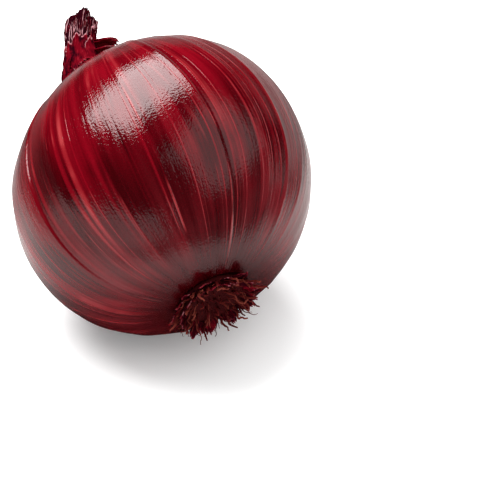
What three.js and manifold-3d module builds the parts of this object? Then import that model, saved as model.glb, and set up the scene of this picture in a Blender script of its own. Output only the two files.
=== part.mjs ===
// A whole red onion, lying on its side on a small flat spot.
// Its growing axis runs from the root plate, low and in front, to the withered neck, high and behind.
// Each piece is shaped in the growing frame, whose +Z points from the roots to the neck,
// and the onion is then laid down. Millimetres, +Z up, the flat spot's centre at the origin.

import * as THREE from "three";
import { mergeVertices } from "three/addons/utils/BufferGeometryUtils.js";
import Module from "manifold-3d";

const wasm = await Module();
wasm.setup();

// The bulb: a globe a little flatter at the shoulder than at the roots.
const BULB_RADIUS = 40;
const SHOULDER_HALF = 35.6; // from the widest level up to where the shoulder would close
const ROOT_HALF = 38; // from the widest level down to where the base would close
const SQUARENESS = 2.1; // 2 is an ellipse, more is fuller at the shoulder
const SKEW = 0.06; // how far the bulb leans across its axis, per millimetre of height
const SKEW_AZIMUTH = -9; // degrees, the side that the shoulder leans to

// The collar: the skin turns up round the neck and leaves a shallow seat for it.
const COLLAR_RADIUS = 7;
const COLLAR_RISE = 3.6;
const COLLAR_BLEND = 5; // more makes a tighter corner between the shoulder and the collar
const COLLAR_SHIFT = -7.5; // the neck stands off the middle, away from the side of the skew
const COLLAR_SHIFT_REACH = 24; // how far out the shoulder follows the neck
const NECK_SEAT_RADIUS = 6.2;
const NECK_SEAT_HEIGHT = 37;

// The root seat: a shallow recess in the base.
const ROOT_SEAT_RADIUS = 9.6;
const ROOT_SEAT_DEPTH = 2.4;

// The skin's relief: meridional veins, and the free edges of overlapping skins.
const VEINS = 20;
const VEIN_HEIGHT = 0.34;
const SKIN_STEP = 0.32;
const SKIN_EDGE_WIDTH = 1.1; // degrees
const SKIN_EDGE_VEINS = [3, 11, 15]; // the veins that an outer skin ends along
const SWIRL = 18; // degrees that a vein turns from the roots to the neck
const SKIN_ROWS = 36;

// The pose: how far the neck end rises from level, and the depth of the flat spot.
const NECK_RISE = 20.5; // degrees
const FLAT_DEPTH = 0.7;

// The withered neck, in a frame on the floor of its seat.
const SEAT_GAP = 0.3; // clearance between the neck or the root plate and the bulb
const NECK_BASE_RADIUS = NECK_SEAT_RADIUS - SEAT_GAP;
const NECK_TOP_RADIUS = 4.4;
const NECK_TAPER = [2, 13]; // the heights between which the neck narrows
const NECK_LEAN = 7.8; // how far the neck leans to the side of the skew, at NECK_LEAN_HEIGHT
const NECK_LEAN_HEIGHT = 22;
const SHEATH_FOOT = 2.6; // the sheaths start clear of the collar
const SHEATH_THICKNESS = 0.7;

// The roots, in a frame on the floor of their seat, growing down.
const PLATE_RADIUS = ROOT_SEAT_RADIUS - SEAT_GAP;
const PLATE_THICKNESS = 3.4;
const ROOT_RADIUS = 0.52;
const ROOT_TIP_RADIUS = 0.26;
const ROOT_SIDES = 4;
const FLATTEST_ROOT = 1.45; // radians from straight down
const SHRED_THICKNESS = 0.6;

const FINEST_EDGE = 0.04; // no edge that a join leaves is shorter
const TURN = Math.PI * 2;
const { lerp, smoothstep, degToRad } = THREE.MathUtils;

// A small seeded generator, so that every build grows the same onion.
function seededDraw(seed) {
  let state = seed >>> 0;
  return (low = 0, high = 1) => {
    state = (Math.imul(state, 1664525) + 1013904223) >>> 0;
    return low + (high - low) * (state / 4294967296);
  };
}

const sideways = (azimuth, distance, height = 0) =>
  new THREE.Vector3(distance * Math.cos(azimuth), distance * Math.sin(azimuth), height);

const skewSide = degToRad(SKEW_AZIMUTH);

// Solids: an indexed closed mesh becomes a solid, and a solid becomes a geometry again.

function solidOf(points, triangles) {
  const geometry = new THREE.BufferGeometry().setFromPoints(points);
  geometry.setIndex(triangles);
  const merged = mergeVertices(geometry, 1e-4);
  return new wasm.Manifold(
    new wasm.Mesh({
      numProp: 3,
      vertProperties: new Float32Array(merged.attributes.position.array),
      triVerts: new Uint32Array(merged.index.array),
    }),
  );
}

function geometryOf(solid) {
  const mesh = solid.getMesh();
  const geometry = new THREE.BufferGeometry();
  geometry.setAttribute("position", new THREE.BufferAttribute(mesh.vertProperties, 3));
  geometry.setIndex(new THREE.BufferAttribute(mesh.triVerts, 1));
  geometry.computeVertexNormals();
  return geometry;
}

// Pieces grown into one another become one body: slivers along the joins go, closed pockets are filled.
function fused(solids) {
  const whole = solids.reduce((sum, piece) => sum.add(piece)).simplify(FINEST_EDGE);
  return whole.decompose().reduce((body, shell) => (shell.volume() > body.volume() ? shell : body));
}

// Rings of points, each as long as the others, are skinned into one closed solid with flat ends.
function loft(rings) {
  const sides = rings[0].length;
  const points = rings.flat();
  const triangles = [];
  for (let ring = 0; ring + 1 < rings.length; ring++) {
    for (let side = 0; side < sides; side++) {
      const here = ring * sides + side;
      const beside = ring * sides + ((side + 1) % sides);
      triangles.push(here, beside, beside + sides, here, beside + sides, here + sides);
    }
  }
  const middle = (ring) =>
    ring.reduce((sum, p) => sum.add(p), new THREE.Vector3()).divideScalar(sides);
  const first = points.push(middle(rings[0])) - 1;
  const last = points.push(middle(rings[rings.length - 1])) - 1;
  const lastRing = (rings.length - 1) * sides;
  for (let side = 0; side < sides; side++) {
    const next = (side + 1) % sides;
    triangles.push(first, next, side, last, lastRing + side, lastRing + next);
  }
  return solidOf(points, triangles);
}

// A thin blade of even thickness over a surface given by along and across, each from 0 to 1.
function blade(surface, thickness, along, across) {
  const step = 1e-3;
  const face = (side) => {
    const grid = [];
    for (let i = 0; i <= along; i++) {
      for (let j = 0; j <= across; j++) {
        const [u, v] = [i / along, j / across];
        const here = surface(u, v);
        const ahead = surface(u + step, v).sub(here);
        const beside = surface(u, v + step).sub(here);
        const out = ahead.cross(beside).normalize();
        grid.push(here.addScaledVector(out, (side * thickness) / 2));
      }
    }
    return grid;
  };
  const columns = across + 1;
  const cells = (along + 1) * columns;
  const points = [...face(1), ...face(-1)];
  const triangles = [];
  for (let i = 0; i < along; i++) {
    for (let j = 0; j < across; j++) {
      const a = i * columns + j;
      const [b, c, d] = [a + 1, a + columns + 1, a + columns];
      triangles.push(a, d, c, a, c, b);
      triangles.push(cells + a, cells + c, cells + d, cells + a, cells + b, cells + c);
    }
  }
  const wall = (a, b) => triangles.push(a, b, cells + b, a, cells + b, cells + a);
  for (let i = 0; i < along; i++) {
    wall((i + 1) * columns, i * columns);
    wall(i * columns + across, (i + 1) * columns + across);
  }
  for (let j = 0; j < across; j++) {
    wall(j, j + 1);
    wall(along * columns + j + 1, along * columns + j);
  }
  const solid = solidOf(points, triangles);
  return solid.volume() < 0 ? solidOf(points, triangles.reverse()) : solid;
}

// The bulb.

// The veins: one column of vertices along each crest, with flanks and a trough to the next one.
function skinColumns() {
  const draw = seededDraw(11);
  const veins = [];
  for (let i = 0; i < VEINS; i++) {
    const azimuth = (TURN * (i + draw(-0.22, 0.22))) / VEINS;
    veins.push({ azimuth, height: VEIN_HEIGHT * draw(0.35, 1) });
  }
  const columns = [];
  veins.forEach((vein, i) => {
    const next = veins[(i + 1) % VEINS];
    const gap = next.azimuth - vein.azimuth + (i + 1 === VEINS ? TURN : 0);
    columns.push({ azimuth: vein.azimuth, relief: vein.height });
    if (SKIN_EDGE_VEINS.includes(i)) {
      columns.push({ azimuth: vein.azimuth + degToRad(SKIN_EDGE_WIDTH), relief: vein.height, edge: true });
    }
    columns.push({ azimuth: vein.azimuth + 0.24 * gap, relief: 0.2 * vein.height });
    columns.push({ azimuth: vein.azimuth + 0.5 * gap, relief: 0 });
    columns.push({ azimuth: vein.azimuth + 0.76 * gap, relief: 0.2 * next.height });
  });
  return raiseOverlaps(columns);
}

// Each outer skin is level with the one below it where it starts, and stands proud where it ends.
function raiseOverlaps(columns) {
  const edges = columns.filter((column) => column.edge).map((column) => column.azimuth);
  return columns.map(({ azimuth, relief, edge }) => {
    if (edge) return { azimuth, relief };
    const before = Math.max(...edges.filter((e) => e < azimuth), edges[edges.length - 1] - TURN);
    const after = Math.min(...edges.filter((e) => e > azimuth), edges[0] + TURN);
    const share = (azimuth - before) / (after - before);
    return { azimuth, relief: relief + SKIN_STEP * share * share };
  });
}

const startAngle = Math.asin(Math.pow(ROOT_SEAT_RADIUS / BULB_RADIUS, SQUARENESS / 2));

// Radius and height of the bare profile, from the rim of the root seat at 0 to the collar at 1.
function profile(level) {
  const angle = lerp(startAngle, Math.PI, 1 - Math.pow(1 - level, 1.22));
  const across = BULB_RADIUS * Math.pow(Math.max(Math.sin(angle), 0), 2 / SQUARENESS);
  const along = Math.pow(Math.abs(Math.cos(angle)), 2 / SQUARENESS);
  if (angle < Math.PI / 2) return { radius: across, height: -ROOT_HALF * along };
  const radius = Math.pow(across ** COLLAR_BLEND + COLLAR_RADIUS ** COLLAR_BLEND, 1 / COLLAR_BLEND);
  return { radius, height: SHOULDER_HALF * along + COLLAR_RISE * (COLLAR_RADIUS / radius) ** 4 };
}

// The middle of the onion at a height, for a surface that far out.
function middleAt(height, radius) {
  const nearNeck = height > 0 ? 1 - smoothstep(radius, COLLAR_RADIUS, COLLAR_SHIFT_REACH) : 0;
  return sideways(skewSide, SKEW * height + COLLAR_SHIFT * nearNeck);
}

const lobes = (azimuth) =>
  0.009 * Math.cos(2 * azimuth - 1.54) + 0.0128 * Math.cos(3 * azimuth - 1.17);

function skinPoint(level, column) {
  const { radius, height } = profile(level);
  const azimuth = column.azimuth + degToRad(SWIRL) * (level - 0.5);
  const fade = smoothstep(level, 0, 0.12) * (1 - smoothstep(level, 0.9, 1));
  const out = radius * (1 + lobes(azimuth) * fade) + column.relief * fade;
  return middleAt(height, radius).add(sideways(azimuth, out, height));
}

function seatRing(centre, radius, height, columns, level) {
  return columns.map((column) => {
    const azimuth = column.azimuth + degToRad(SWIRL) * (level - 0.5);
    return centre.clone().add(sideways(azimuth, radius)).setZ(height);
  });
}

const rootRim = profile(0);
const rootCentre = middleAt(rootRim.height, rootRim.radius).setZ(rootRim.height + ROOT_SEAT_DEPTH);
const neckCentre = middleAt(NECK_SEAT_HEIGHT, COLLAR_RADIUS).setZ(NECK_SEAT_HEIGHT);

function bulbSolid() {
  const columns = skinColumns();
  const rings = [seatRing(rootCentre, ROOT_SEAT_RADIUS, rootCentre.z, columns, 0)];
  for (let row = 0; row <= SKIN_ROWS; row++) {
    rings.push(columns.map((column) => skinPoint(row / SKIN_ROWS, column)));
  }
  const collarTop = profile(1).height;
  rings.push(seatRing(neckCentre, NECK_SEAT_RADIUS, collarTop, columns, 1));
  rings.push(seatRing(neckCentre, NECK_SEAT_RADIUS, NECK_SEAT_HEIGHT, columns, 1));
  return loft(rings);
}

// Laying the onion down: the turn, and where its lowest stretch comes to rest at the origin.
function layDown(solid) {
  const lying = new THREE.Group();
  lying.rotation.x = degToRad(NECK_RISE - 90);
  lying.updateMatrix();
  const skin = geometryOf(solid).applyMatrix4(lying.matrix);
  const position = skin.getAttribute("position");
  const corners = Array.from({ length: position.count }, (_, i) =>
    new THREE.Vector3().fromBufferAttribute(position, i),
  );
  const floor = Math.min(...corners.map((p) => p.z)) + FLAT_DEPTH;
  const under = corners.filter((p) => p.z < floor);
  const spot = new THREE.Box3().setFromPoints(under).getCenter(new THREE.Vector3());
  lying.position.set(-spot.x, -spot.y, -floor);
  lying.updateMatrix();
  return lying;
}

function withFlatSpot(solid, lying) {
  const size = 4 * BULB_RADIUS;
  const below = new THREE.BoxGeometry(size, size, size).translate(0, 0, -size / 2);
  below.applyMatrix4(lying.matrix.clone().invert());
  below.deleteAttribute("normal");
  below.deleteAttribute("uv");
  const merged = mergeVertices(below);
  const table = new wasm.Manifold(
    new wasm.Mesh({
      numProp: 3,
      vertProperties: new Float32Array(merged.attributes.position.array),
      triVerts: new Uint32Array(merged.index.array),
    }),
  );
  return solid.subtract(table);
}

// The neck: shrivelled bundles of leaf bases, inside torn sheaths, with a ragged skirt of skin.

// The neck leans over as it rises, and narrows.
const neckMiddle = (height) =>
  sideways(skewSide, NECK_LEAN * (Math.max(height, 0) / NECK_LEAN_HEIGHT) ** 1.9, height);
const neckRadius = (height) => lerp(NECK_BASE_RADIUS, NECK_TOP_RADIUS, smoothstep(height, ...NECK_TAPER));

// The ends of a torn edge, from its notches at even spacing.
function tornEdge(notches, share) {
  const place = Math.min(share, 0.999) * (notches.length - 1);
  const notch = Math.floor(place);
  return lerp(notches[notch], notches[notch + 1], place - notch);
}

// The plug fills the seat and carries everything else.
function neckPlug() {
  const sides = 22;
  const heights = [0, 2, 4, 7, 10];
  return loft(
    heights.map((height) =>
      Array.from({ length: sides }, (_, side) => {
        const around = (TURN * side) / sides;
        const fold = height > 2 ? 0.94 + 0.05 * Math.cos(7 * around + height) : 1;
        const middle = neckMiddle(height > 2 ? height : 0).setZ(height);
        return middle.add(sideways(around, neckRadius(height) * fold));
      }),
    ),
  );
}

// A bundle of leaf bases shrinks and wrinkles from the plug to a slanting top.
function neckBundle({ azimuth, offset, base, top, height, slant, folds }, draw) {
  const sides = 14;
  const steps = 7;
  const phase = draw(0, TURN);
  const twist = draw(1.5, 3.3);
  const rings = [];
  for (let step = 0; step <= steps; step++) {
    const share = step / steps;
    const ring = [];
    for (let side = 0; side < sides; side++) {
      const around = (TURN * side) / sides;
      const fold = 1 + 0.17 * share * Math.cos(folds * around + phase + twist * share);
      const out = lerp(base, top, smoothstep(share, 0, 0.75)) * fold * draw(0.93, 1.07);
      const level = share * (height + slant * Math.cos(around - azimuth) * share);
      const centre = neckMiddle(level).add(sideways(azimuth, offset * smoothstep(share, 0.1, 0.9)));
      ring.push(centre.add(sideways(around, out)));
    }
    rings.push(ring);
  }
  return loft(rings);
}

// A sheath wraps part of the neck and ends in a torn edge.
function neckSheath({ azimuth, span, height, flare }, draw) {
  const across = 5;
  const notches = Array.from({ length: across + 1 }, () => draw(0.78, 1));
  const pleat = draw(0.1, 0.3);
  const pleats = draw(6, 11);
  const surface = (u, v) => {
    const around = degToRad(azimuth + span * (v - 0.5) * lerp(1, 0.74, u));
    const level = SHEATH_FOOT + (height - SHEATH_FOOT) * u * lerp(1, tornEdge(notches, v), u);
    const out = neckRadius(level) - 0.1 + flare * u * u + pleat * Math.cos(pleats * v + azimuth) * u;
    return neckMiddle(level).add(sideways(around, out));
  };
  return blade(surface, SHEATH_THICKNESS, 5, across);
}

// A flap of torn skin leaves the neck at its level and stands out, drooping or turned up.
function skinFlap({ azimuth, span, level, reach, droop }, draw) {
  const across = 3;
  const notches = Array.from({ length: across + 1 }, () => draw(0.7, 1));
  const lift = draw(0.3, 0.9);
  const surface = (u, v) => {
    const far = u * lerp(1, tornEdge(notches, v), u);
    const around = degToRad(azimuth + span * (v - 0.5) * lerp(1, 0.6, u));
    const out = neckRadius(level) - 0.9 + reach * far;
    const ripple = 0.25 * Math.cos(6 * v + azimuth) * u;
    const rise = lift * Math.sin(Math.PI * 0.6 * far) - droop * far * far + ripple;
    return neckMiddle(level).add(sideways(around, out, rise));
  };
  return blade(surface, SHEATH_THICKNESS, 5, across);
}

function neckSolid() {
  const draw = seededDraw(29);
  const rightSide = skewSide;
  const leftSide = skewSide + Math.PI;
  const bundles = [
    { azimuth: leftSide, offset: 1.7, base: 3.6, top: 2.9, height: 21.6, slant: -1.5, folds: 4 },
    { azimuth: rightSide, offset: 2.8, base: 3.1, top: 2, height: 19, slant: -0.8, folds: 3 },
    { azimuth: rightSide + 2, offset: 1.8, base: 3.2, top: 2.1, height: 17, slant: -0.7, folds: 3 },
  ];
  const sheaths = [
    { azimuth: -112, span: 96, height: 15.4, flare: 0.5 },
    { azimuth: 166, span: 46, height: 17.6, flare: 0.1 },
    { azimuth: -32, span: 62, height: 17.4, flare: 0.2 },
    { azimuth: 112, span: 62, height: 14.5, flare: 0.3 },
    { azimuth: 62, span: 60, height: 16, flare: 0 },
    { azimuth: 12, span: 50, height: 12.6, flare: 0.6 },
    { azimuth: -166, span: 40, height: 12, flare: 0.4 },
    { azimuth: -66, span: 48, height: 11, flare: 0.7 },
  ];
  const flaps = [
    { azimuth: -16, span: 52, level: 11, reach: 7.4, droop: 2.2 },
    { azimuth: -104, span: 74, level: 3, reach: 2.6, droop: -1.6 },
    { azimuth: -46, span: 58, level: 3.1, reach: 3.2, droop: -1.2 },
    { azimuth: 12, span: 62, level: 3, reach: 3.6, droop: -0.9 },
    { azimuth: 72, span: 60, level: 3.1, reach: 2.8, droop: -1.7 },
    { azimuth: 130, span: 56, level: 3, reach: 2.2, droop: -2.1 },
    { azimuth: -164, span: 56, level: 3.1, reach: 1.9, droop: -2.4 },
  ];
  return fused([
    neckPlug(),
    ...bundles.map((bundle) => neckBundle(bundle, draw)),
    ...sheaths.map((sheath) => neckSheath(sheath, draw)),
    ...flaps.map((flap) => skinFlap(flap, draw)),
  ]);
}

// The roots: a rough plate, a mat of short withered roots, and shreds of skin round the rim.

function rootPlate(draw) {
  const sides = 26;
  const plateProfile = [
    [PLATE_RADIUS, 0],
    [PLATE_RADIUS, -ROOT_SEAT_DEPTH + SEAT_GAP],
    [PLATE_RADIUS * 0.93, -PLATE_THICKNESS],
    [PLATE_RADIUS * 0.62, -PLATE_THICKNESS - 0.9],
    [PLATE_RADIUS * 0.28, -PLATE_THICKNESS - 0.5],
  ];
  const rings = plateProfile.map(([radius, height], row) =>
    Array.from({ length: sides }, (_, side) => {
      const rough = row < 2 ? 1 : draw(0.93, 1.03);
      const bump = row < 2 ? 0 : draw(-0.25, 0.25);
      return sideways((TURN * side) / sides, radius * rough, height + bump);
    }),
  );
  return loft(rings.reverse());
}

// A root starts inside the plate, leans out and curls, and thins to its tip.
function witheredRoot(azimuth, out, length, draw) {
  const lean = lerp(0.15, 1.05, out / PLATE_RADIUS) + draw(-0.12, 0.12);
  const ways = [azimuth, azimuth + draw(-0.7, 0.7), azimuth + draw(-1.3, 1.3)];
  const leans = [lean, lean + draw(-0.25, 0.35), lean + draw(-0.5, 0.7)];
  const stride = length / ways.length;
  const points = [sideways(azimuth, out, -PLATE_THICKNESS + 0.9)];
  ways.forEach((way, i) => {
    const tilt = Math.min(leans[i], FLATTEST_ROOT);
    const step = sideways(way, stride * Math.sin(tilt), -stride * Math.cos(tilt));
    points.push(points[i].clone().add(step));
  });
  const path = new THREE.CatmullRomCurve3(points);
  const steps = 3;
  const frames = path.computeFrenetFrames(steps);
  const rings = [];
  for (let step = 0; step <= steps; step++) {
    const share = step / steps;
    const centre = path.getPointAt(share);
    const radius = lerp(ROOT_RADIUS, ROOT_TIP_RADIUS, share ** 1.5);
    const ring = [];
    for (let side = 0; side < ROOT_SIDES; side++) {
      const around = (TURN * side) / ROOT_SIDES;
      const spoke = frames.normals[step].clone().multiplyScalar(radius * Math.cos(around));
      spoke.addScaledVector(frames.binormals[step], radius * Math.sin(around));
      ring.push(centre.clone().add(spoke));
    }
    rings.push(ring);
  }
  const root = loft(rings);
  return root.volume() < 0 ? loft(rings.reverse()) : root;
}

// A shred of torn skin clings to the plate's rim and turns out.
function skinShred(azimuth, draw) {
  const span = draw(22, 38);
  const reach = draw(3.4, 6);
  const drop = draw(1.4, 2.8);
  const notches = [draw(0.5, 0.9), 1, draw(0.6, 1), draw(0.4, 0.8)];
  const surface = (u, v) => {
    const far = u * lerp(1, tornEdge(notches, v), u);
    const around = azimuth + degToRad(span) * (v - 0.5) * lerp(1, 0.55, u);
    const out = PLATE_RADIUS - 1.5 + reach * far;
    return sideways(around, out, -PLATE_THICKNESS + 0.7 - drop * far ** 1.5);
  };
  return blade(surface, SHRED_THICKNESS, 3, 3);
}

function rootSolid() {
  const draw = seededDraw(47);
  const pieces = [rootPlate(draw)];
  const circles = [
    { out: 1.6, count: 4, length: 4 },
    { out: 4.2, count: 10, length: 4.8 },
    { out: 6.6, count: 18, length: 5.4 },
    { out: 7.9, count: 20, length: 5.4 },
  ];
  for (const { out, count, length } of circles) {
    for (let i = 0; i < count; i++) {
      const azimuth = (TURN * (i + draw(-0.3, 0.3))) / count;
      pieces.push(witheredRoot(azimuth, out + draw(-0.5, 0.5), length * draw(0.6, 1.45), draw));
    }
  }
  const shredCount = 11;
  for (let i = 0; i < shredCount; i++) {
    pieces.push(skinShred((TURN * (i + draw(-0.3, 0.3))) / shredCount, draw));
  }
  return fused(pieces);
}

// The materials and the finished onion.

const glossySkin = new THREE.MeshStandardMaterial({ color: "#5f0610", roughness: 0.28, metalness: 0 });
const dryNeck = new THREE.MeshStandardMaterial({ color: "#4a1218", roughness: 0.75, metalness: 0 });
const dryRoots = new THREE.MeshStandardMaterial({ color: "#7a4a30", roughness: 0.9, metalness: 0 });

function pieceOf(name, geometry, material, place = new THREE.Vector3()) {
  const mesh = new THREE.Mesh(geometry, material);
  mesh.name = name;
  mesh.position.copy(place);
  return mesh;
}

const roundBulb = bulbSolid();
const lying = layDown(roundBulb);
const bulb = withFlatSpot(roundBulb, lying);
const neckPlace = neckCentre.clone().add(new THREE.Vector3(0, 0, SEAT_GAP));
const rootPlace = rootCentre.clone().sub(new THREE.Vector3(0, 0, SEAT_GAP));

lying.add(pieceOf("bulb", geometryOf(bulb), glossySkin));
lying.add(pieceOf("dry_neck", geometryOf(neckSolid()), dryNeck, neckPlace));
lying.add(pieceOf("root_tuft", geometryOf(rootSolid()), dryRoots, rootPlace));

const onion = new THREE.Group();
onion.name = "red_onion";
onion.add(lying);

export default onion;
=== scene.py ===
"""A whole red onion on a white table: glossy crimson skin, a withered torn neck, a tuft of dried roots.

Shapes are worked out in the onion's growing frame, in millimetres. Its +Z runs from roots to neck.
"""

import math
from types import SimpleNamespace

import bpy
import numpy as np
from mathutils import Matrix, Vector

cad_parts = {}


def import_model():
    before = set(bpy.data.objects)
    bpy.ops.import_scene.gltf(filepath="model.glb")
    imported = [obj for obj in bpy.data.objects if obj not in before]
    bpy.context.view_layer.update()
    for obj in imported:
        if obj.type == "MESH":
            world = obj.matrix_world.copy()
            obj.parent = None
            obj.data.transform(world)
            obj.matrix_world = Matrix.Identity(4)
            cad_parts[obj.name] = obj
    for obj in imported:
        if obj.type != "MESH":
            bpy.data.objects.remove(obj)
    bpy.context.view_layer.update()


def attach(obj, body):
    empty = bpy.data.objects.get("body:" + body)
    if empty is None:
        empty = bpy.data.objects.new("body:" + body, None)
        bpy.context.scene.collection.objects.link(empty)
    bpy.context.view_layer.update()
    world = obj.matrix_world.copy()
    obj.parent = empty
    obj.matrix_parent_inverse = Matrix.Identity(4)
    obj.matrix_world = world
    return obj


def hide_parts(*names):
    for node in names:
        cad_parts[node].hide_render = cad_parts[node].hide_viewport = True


MM = 0.001
TURN = math.tau
TINY = 1e-9

# The solids draw from these seeds too, so the veins, the neck and the thick roots match theirs.
VEIN_SEED = 11
NECK_SEED = 29
ROOT_SEED = 47

# How the onion lies: the growing frame's place in the row frame, and the rise of the neck end.
GROWING_ORIGIN = Vector((1.6985, -0.4711, 39.2727))
NECK_RISE = math.radians(20.5)

# The bulb's profile, in the solids' own sizes.
BULB_RADIUS = 40
SHOULDER_HALF = 35.6
ROOT_HALF = 38
SQUARENESS = 2.1
SKEW = 0.06
SKEW_SIDE = math.radians(-9)
ROW_CROWDING = 1.22
LOBES = (
    # waves round the bulb, height as a share of the radius, turn
    (2, 0.009, -1.54),
    (3, 0.0128, -1.17),
)
COLLAR_RADIUS = 7
COLLAR_RISE = 3.6
COLLAR_BLEND = 5
COLLAR_SHIFT = -7.5
COLLAR_SHIFT_REACH = 24
NECK_SEAT_RADIUS = 6.2
NECK_SEAT_HEIGHT = 37
ROOT_SEAT_RADIUS = 9.6
ROOT_SEAT_DEPTH = 2.4

# The skin's veins and overlaps. A level is a share of the way from the roots, 0, to the neck, 1.
VEINS = 20
VEIN_HEIGHT = 0.34
VEIN_JITTER = 0.22
WEAKEST_VEIN = 0.35
VEIN_SHARPNESS = 6
SKIN_STEP = 0.32
SKIN_EDGE_VEINS = (3, 11, 15)
SKIN_EDGE_WIDTH = 0.014
TORN_RIM_DEPTH = 0.012
SWIRL = math.radians(18)
FLANK_LEAN = math.radians(-85)
FLANK_MIDDLE = math.radians(-55)
FLANK_HALF = math.radians(90)
FLANK_LEVEL = 0.45
FLANK_REACH = 0.28
RIDGE_HEIGHT = 0.05
DENT_DEPTH = 0.16
# Darker patches: partly the skin's own darker tone, partly painted shade, as in the broad one low on the
# front flank by the roots.
DUSKY_AND_SHADED_PATCHES = (
    # azimuth and level of the middle, half width in degrees, half height in level, depth
    (-121, 0.25, 11, 0.1, 0.9),
    (-152, 0.39, 9, 0.11, 0.8),
    (-84, 0.11, 26, 0.1, 1.0),
    (-68, 0.38, 9, 0.09, 0.5),
    (-100, 0.27, 8, 0.07, 0.4),
    (8, 0.3, 14, 0.12, 0.6),
    (40, 0.22, 18, 0.12, 0.7),
    (85, 0.35, 12, 0.14, 0.6),
    (130, 0.2, 20, 0.12, 0.8),
)
PALE_VEINS = (
    # azimuth and level of the middle, half width in degrees, half height in level, strength
    (-162, 0.38, 1.1, 0.16, 0.4),
    (-150, 0.26, 0.9, 0.14, 0.4),
    (-138, 0.36, 1.2, 0.24, 0.95),
    (-126, 0.2, 1.0, 0.14, 0.45),
    (-116, 0.44, 0.8, 0.2, 0.4),
    (-107, 0.5, 0.9, 0.2, 0.7),
    (-97, 0.28, 0.8, 0.14, 0.5),
    (-84, 0.42, 1.1, 0.22, 0.65),
    (-72, 0.3, 0.9, 0.16, 0.5),
    (-56, 0.3, 1.0, 0.2, 0.55),
    (-45, 0.3, 1.0, 0.2, 0.6),
    (-33, 0.3, 1.2, 0.2, 0.6),
    (-20, 0.4, 1.0, 0.25, 0.6),
    (24, 0.3, 1.2, 0.22, 0.7),
    (66, 0.45, 1.0, 0.2, 0.6),
    (102, 0.3, 1.2, 0.25, 0.8),
    (141, 0.4, 1.0, 0.2, 0.6),
    (172, 0.35, 1.1, 0.22, 0.7),
)
COLUMNS_PER_VEIN = 24
SKIN_ROWS = 190

# The neck and the roots.
SEAT_GAP = 0.3
NECK_BASE_RADIUS = NECK_SEAT_RADIUS - SEAT_GAP
NECK_TOP_RADIUS = 4.4
NECK_TAPER = (2, 13)
NECK_LEAN = 7.8
NECK_LEAN_HEIGHT = 22
NECK_LEAN_BEND = 1.9
SOLID_BUNDLE_CORNERS = 8 * 14
BUNDLES = (
    # turn from the skew's side, offset, base and top radius, height, slant, folds:
    # the tall one on the left, the short one on the right, the one behind
    (math.pi, 1.6, 3.6, 3.5, 21.3, -0.9, 4),
    (0, 2.8, 3.1, 2, 19, -0.8, 3),
    (2, 1.8, 3.2, 2.1, 17, -0.7, 3),
)
# For each bundle, its shade and the height above which its creases turn pale, partly as painted highlight.
BUNDLE_LOOKS = ((0.1, 12), (0.35, 13), (0.2, 11))
# For each bundle, the count of its threads and their lowest foot as a share of its height.
LEAF_THREADS = ((44, 0.5), (22, 0.62), (18, 0.6))
SHEATH_FOOT = 1.2
SKIN_THICKNESS = 0.28
SHEATHS = (
    # azimuth and span in degrees, height, flare, shade
    (-112, 96, 13.8, 0.5, 0.85),
    (166, 46, 17.6, 0.1, 0.6),
    (-32, 62, 17.4, 0.2, 0.4),
    (112, 62, 14.5, 0.3, 0.5),
    (62, 60, 16, 0, 0.3),
    (12, 50, 12.6, 0.6, 0.6),
    (-166, 40, 12, 0.4, 0.6),
    (-66, 48, 11, 0.7, 0.8),
)
TORN_FLAPS = (
    # azimuth and span in degrees, level, reach, droop, shade, pink, pale, hang
    # The first flap and the three below it carry higher shade and pink values: partly their own salmon
    # colour, partly painted light on faces that lie in shadow.
    (-16, 52, 11.2, 7, 2.8, 1.4, 0.78, 0.45, 1),
    (-104, 84, 4, 3.2, 3.8, 0.9, 0.7, 0.8, 0),
    (-46, 66, 4, 3.6, 3.6, 0.9, 0.7, 0.8, 0),
    (12, 62, 3, 3.6, -0.9, 0.8, 0.7, 1, 0),
    (72, 60, 3.1, 2.8, -1.7, 0.6, 0.6, 1, 0),
    (130, 56, 3, 2.2, -1.1, 0.8, 0.7, 1, 0),
    (-170, 90, 6.6, 3.5, 6.2, 0.7, 0, 0.5, 0),
)
LOWER_FLAPS = (
    # the same, for the three below the first flap
    (-24, 62, 9.8, 6.8, 2.4, 1.4, 0.78, 0.45, 1.2),
    (-8, 56, 8.3, 6.6, 2.2, 1.3, 0.85, 0.5, 0.8),
    (-34, 60, 6.9, 6.2, 2.4, 1.4, 0.85, 0.45, 0.8),
)
SHOULDER_SKINS = (
    # azimuth and span in degrees, reach, shade
    (-60, 300, 0.14, 0.85),
    (60, 280, 0.11, 0.9),
)
THREAD_SIZES = {"Strand radius": 0.11, "Gnarl": 0.08}
PLATE_RADIUS = ROOT_SEAT_RADIUS - SEAT_GAP
PLATE_THICKNESS = 3.4
SOLID_PLATE_DRAWS = 3 * 26 * 2
PLATE_OUTLINE = (
    # share of the radius, height
    (1, 0),
    (1, -1.2),
    (0.97, -2.1),
    (0.93, -3.4),
    (0.86, -3.8),
    (0.76, -4.1),
    (0.62, -4.3),
    (0.45, -4.2),
    (0.28, -3.9),
    (0.12, -3.7),
)
FLATTEST_ROOT = 1.45
# Roots stand in circles: the circle's radius, a count and a length.
THICK_ROOTS = ((1.6, 4, 4), (4.2, 10, 4.8), (6.6, 18, 5.4), (7.9, 20, 5.4))
FINE_ROOTS = ((2.5, 12, 4), (5.5, 30, 5), (7.8, 48, 5.5))
THICK_ROOT_SIZES = {"Strand radius": 0.4, "Gnarl": 0.6}
FINE_ROOT_SIZES = {"Strand radius": 0.17, "Gnarl": 0.7}
SHRED_CIRCLES = (
    # count, reach, how far out and how high they lie
    (13, 1, 0, 0),
    (17, 0.6, 0.2, -1.2),
)

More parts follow.
